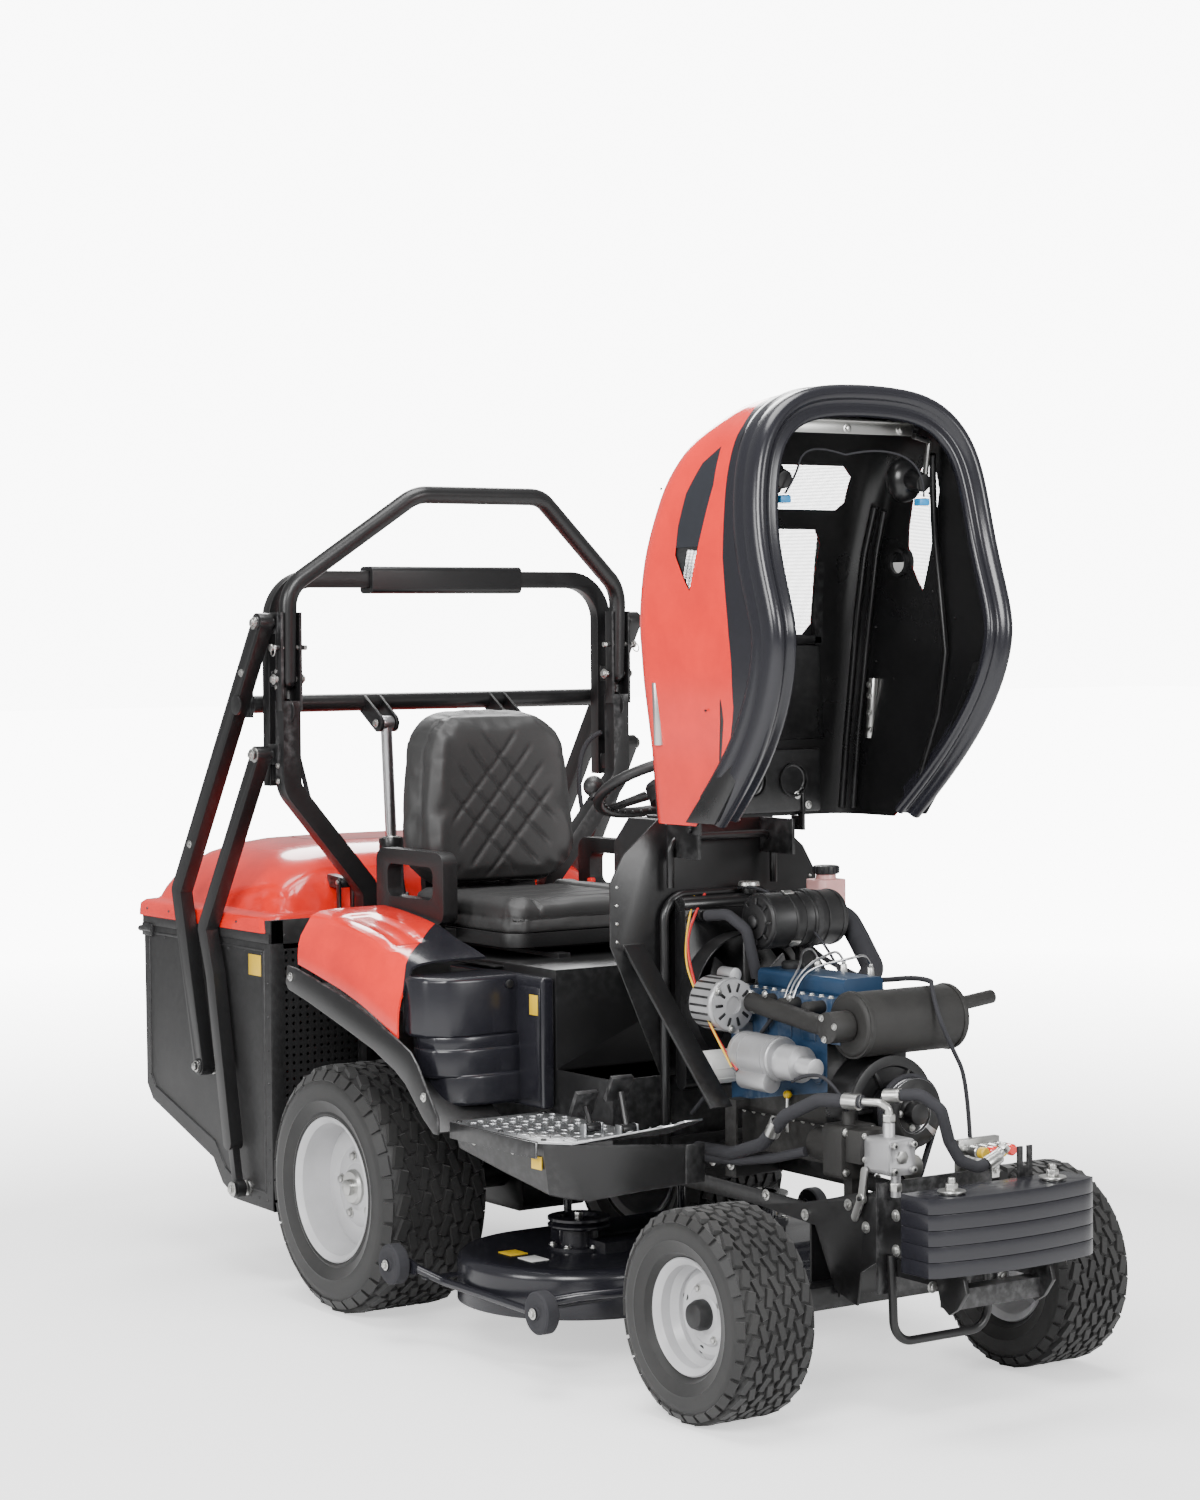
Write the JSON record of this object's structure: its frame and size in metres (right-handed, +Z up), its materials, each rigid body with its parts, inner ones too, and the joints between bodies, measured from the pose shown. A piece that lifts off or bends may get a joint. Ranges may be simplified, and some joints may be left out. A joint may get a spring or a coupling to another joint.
{
  "type": "ride-on lawn tractor with grass collector",
  "caption": "Ride-on lawn tractor, bonnet open over its engine, with mid mower deck, roll-over hoop and high-lift rear grass collector.",
  "frame": {"origin": "on the ground, below the centre of the overall bounding box", "axes": "+X forward, +Y to the driver's left, +Z up, wheels on z = 0"},
  "size_m": [3.0299, 1.304, 2.2],
  "materials": {
    "red_paint": "gloss vermilion red",
    "black_paint": "satin black powder coat",
    "black_gloss": "gloss black moulded plastic",
    "black_plastic": "fine textured black plastic",
    "silver_rim": "silver paint",
    "tyre_rubber": "black turf tyre rubber",
    "hose_rubber": "black hose rubber",
    "engine_blue": "blue grey engine paint",
    "cast_dark": "dark heat stained casting",
    "steel": "bare machined steel",
    "alloy": "cast aluminium",
    "tread_alloy": "tread pattern aluminium plate",
    "tank_plastic": "translucent pink plastic tank",
    "seat_vinyl": "black seat vinyl"
  },
  "bodies": {
    "chassis": {"main_frame": "black_paint", "rear_axle": "cast_dark", "front_weights": "black_paint", "front_carrier": "black_paint", "engine_block": "engine_blue", "exhaust": "cast_dark", "air_filter": "black_plastic", "alternator": "alloy", "starter_motor": "steel", "radiator": "black_paint", "expansion_tank": "tank_plastic", "hydro_pump": "cast_dark", "gear_pump": "alloy", "engine_hoses": "hose_rubber", "bulkhead_frame": "black_paint", "dash_cowl": "black_plastic", "footplates": "tread_alloy", "mudguards": "black_gloss", "fender_covers": "red_paint", "side_covers": "black_gloss", "seat_platform": "black_plastic", "rops_posts": "black_paint", "rear_arch": "black_paint", "drive_belt": "hose_rubber"},
    "front_axle": {"front_axle_beam": "black_paint"},
    "knuckle_l": {"knuckle_left": "black_paint"},
    "knuckle_r": {"knuckle_right": "black_paint"},
    "track_rod": {"tie_rod": "black_paint"},
    "front_wheel_l": {"front_tyre_left": "tyre_rubber", "front_rim_left": "silver_rim"},
    "front_wheel_r": {"front_tyre_right": "tyre_rubber", "front_rim_right": "silver_rim"},
    "rear_wheel_l": {"rear_tyre_left": "tyre_rubber", "rear_rim_left": "silver_rim"},
    "rear_wheel_r": {"rear_tyre_right": "tyre_rubber", "rear_rim_right": "silver_rim"},
    "steering": {"steering_wheel": "black_plastic"},
    "spinner": {"steering_knob": "black_gloss"},
    "bonnet": {"bonnet_shell": "red_paint", "bonnet_liner": "black_gloss"},
    "latch": {"bonnet_latch": "steel"},
    "hoop": {"rops_hoop": "black_paint"},
    "seat": {"seat_frame": "black_plastic", "seat_cushion": "seat_vinyl", "seat_backrest": "seat_vinyl"},
    "arms": {"lift_arms": "black_paint"},
    "links": {"lower_links": "black_paint"},
    "collector": {"collector_box": "black_plastic"},
    "lid": {"collector_lid": "red_paint"},
    "cylinders": {"lift_cylinders": "black_paint"},
    "rods": {"lift_rods": "steel"},
    "deck": {"deck_shell": "black_paint"},
    "blade_l": {"blade_left": "steel"},
    "blade_r": {"blade_right": "steel"},
    "rollers_front": {"deck_rollers_front": "black_plastic"},
    "rollers_rear": {"deck_rollers_rear": "black_plastic"},
    "drive_foot": {"drive_pedal": "black_paint"},
    "brake_foot": {"brake_pedal": "black_paint"},
    "crank": {"crank_pulley": "steel"},
    "fan": {"cooling_fan": "black_plastic"}
  },
  "joints": [
    {"name": "axle_oscillation", "type": "hinge", "parent": "chassis", "child": "front_axle", "pos_m": [1.046, 0, 0.272], "axis": [1, 0, 0], "range_deg": [-5, 5]},
    {"name": "steer_left", "type": "hinge", "parent": "front_axle", "child": "knuckle_l", "pos_m": [1.046, 0.318, 0.228], "axis": [0, 0, 1], "range_deg": [-35, 35]},
    {"name": "steer_right", "type": "hinge", "parent": "front_axle", "child": "knuckle_r", "pos_m": [1.046, -0.318, 0.228], "axis": [0, 0, 1], "range_deg": [-35, 35]},
    {"name": "track_rod_slide", "type": "slide", "parent": "front_axle", "child": "track_rod", "axis": [0, 1, 0], "range_m": [-0.066, 0.066]},
    {"name": "front_left_spin", "type": "hinge", "parent": "knuckle_l", "child": "front_wheel_l", "pos_m": [1.046, 0.446, 0.228], "axis": [0, 1, 0], "continuous": true},
    {"name": "front_right_spin", "type": "hinge", "parent": "knuckle_r", "child": "front_wheel_r", "pos_m": [1.046, -0.446, 0.228], "axis": [0, 1, 0], "continuous": true},
    {"name": "rear_left_spin", "type": "hinge", "parent": "chassis", "child": "rear_wheel_l", "pos_m": [-0.355, 0.457, 0.306], "axis": [0, 1, 0], "continuous": true},
    {"name": "rear_right_spin", "type": "hinge", "parent": "chassis", "child": "rear_wheel_r", "pos_m": [-0.355, -0.457, 0.306], "axis": [0, 1, 0], "continuous": true},
    {"name": "steering_turn", "type": "hinge", "parent": "chassis", "child": "steering", "pos_m": [0.245, 0, 1.305], "axis": [-0.4384, 0, 0.8988], "range_deg": [-540, 540]},
    {"name": "spinner_turn", "type": "hinge", "parent": "steering", "child": "spinner", "pos_m": [0.14405, -0.13002, 1.28024], "axis": [-0.4384, 0, 0.8988], "continuous": true},
    {"name": "bonnet_hinge", "type": "hinge", "parent": "chassis", "child": "bonnet", "pos_m": [0.56, 0, 1.219], "axis": [0, 1, 0], "range_deg": [0, 110]},
    {"name": "latch_hinge", "type": "hinge", "parent": "chassis", "child": "latch", "pos_m": [1.192, -0.165, 0.462], "axis": [0, 1, 0], "range_deg": [-38, 0]},
    {"name": "hoop_fold", "type": "hinge", "parent": "chassis", "child": "hoop", "pos_m": [-0.693, 0, 1.56], "axis": [0, 1, 0], "range_deg": [0, 95]},
    {"name": "seat_slide", "type": "slide", "parent": "chassis", "child": "seat", "axis": [1, 0, 0], "range_m": [0, 0.12]},
    {"name": "lift_hinge", "type": "hinge", "parent": "chassis", "child": "arms", "pos_m": [-0.71, 0, 1.704], "axis": [0, 1, 0], "range_deg": [0, 80]},
    {"name": "collector_hinge", "type": "hinge", "parent": "arms", "child": "collector", "pos_m": [-1.062, 0, 0.535], "axis": [0, 1, 0], "range_deg": [-60, 0]},
    {"name": "lid_hinge", "type": "hinge", "parent": "collector", "child": "lid", "pos_m": [-0.74, 0, 1.028], "axis": [0, 1, 0], "range_deg": [0, 40]},
    {"name": "lower_link_hinge", "type": "hinge", "parent": "chassis", "child": "links", "pos_m": [-0.727, 0, 1.368], "axis": [0, 1, 0], "range_deg": [0, 90]},
    {"name": "cylinder_hinge", "type": "hinge", "parent": "chassis", "child": "cylinders", "pos_m": [-0.677, 0, 0.56], "axis": [0, 1, 0], "range_deg": [-12, 0]},
    {"name": "rod_stroke", "type": "slide", "parent": "cylinders", "child": "rods", "axis": [-0.0669, 0, 0.9978], "range_m": [0, 0.29]},
    {"name": "deck_lift", "type": "slide", "parent": "chassis", "child": "deck", "axis": [0, 0, 1], "range_m": [0, 0.1]},
    {"name": "blade_left_spin", "type": "hinge", "parent": "deck", "child": "blade_l", "pos_m": [0.255, 0.266, 0.16], "axis": [0, 0, 1], "continuous": true},
    {"name": "blade_right_spin", "type": "hinge", "parent": "deck", "child": "blade_r", "pos_m": [0.255, -0.266, 0.16], "axis": [0, 0, 1], "continuous": true},
    {"name": "front_roller_spin", "type": "hinge", "parent": "deck", "child": "rollers_front", "pos_m": [0.646, 0.628, 0.181], "axis": [0, 1, 0], "continuous": true},
    {"name": "rear_roller_spin", "type": "hinge", "parent": "deck", "child": "rollers_rear", "pos_m": [0.011, 0.628, 0.186], "axis": [0, 1, 0], "continuous": true},
    {"name": "drive_pedal_hinge", "type": "hinge", "parent": "chassis", "child": "drive_foot", "pos_m": [0.507, -0.398, 0.551], "axis": [0, 1, 0], "range_deg": [0, 20], "stiffness_Nm_per_rad": 15, "springref_deg": -17.19},
    {"name": "brake_pedal_hinge", "type": "hinge", "parent": "chassis", "child": "brake_foot", "pos_m": [0.573, -0.346, 0.551], "axis": [0, 1, 0], "range_deg": [0, 20], "stiffness_Nm_per_rad": 25, "springref_deg": -17.19},
    {"name": "crank_spin", "type": "hinge", "parent": "chassis", "child": "crank", "pos_m": [1.15, 0, 0.626], "axis": [1, 0, 0], "continuous": true},
    {"name": "fan_spin", "type": "hinge", "parent": "chassis", "child": "fan", "pos_m": [0.576, 0, 0.82], "axis": [1, 0, 0], "continuous": true}
  ],
  "couplings": [
    {"joint": "steer_right", "follows": "steer_left", "ratio": 1},
    {"joint": "track_rod_slide", "follows": "steer_left", "m_per_rad": -0.105},
    {"joint": "steering_turn", "follows": "steer_left", "ratio": 15.4},
    {"joint": "collector_hinge", "follows": "lift_hinge", "ratio": -0.726},
    {"joint": "lower_link_hinge", "follows": "lift_hinge", "ratio": 1.1125},
    {"joint": "cylinder_hinge", "follows": "lift_hinge", "ratio": -0.138},
    {"joint": "rod_stroke", "follows": "lift_hinge", "m_per_rad": 0.2006},
    {"joint": "blade_left_spin", "follows": "crank_spin", "ratio": 1},
    {"joint": "blade_right_spin", "follows": "crank_spin", "ratio": -1},
    {"joint": "fan_spin", "follows": "crank_spin", "ratio": 1.1}
  ]
}
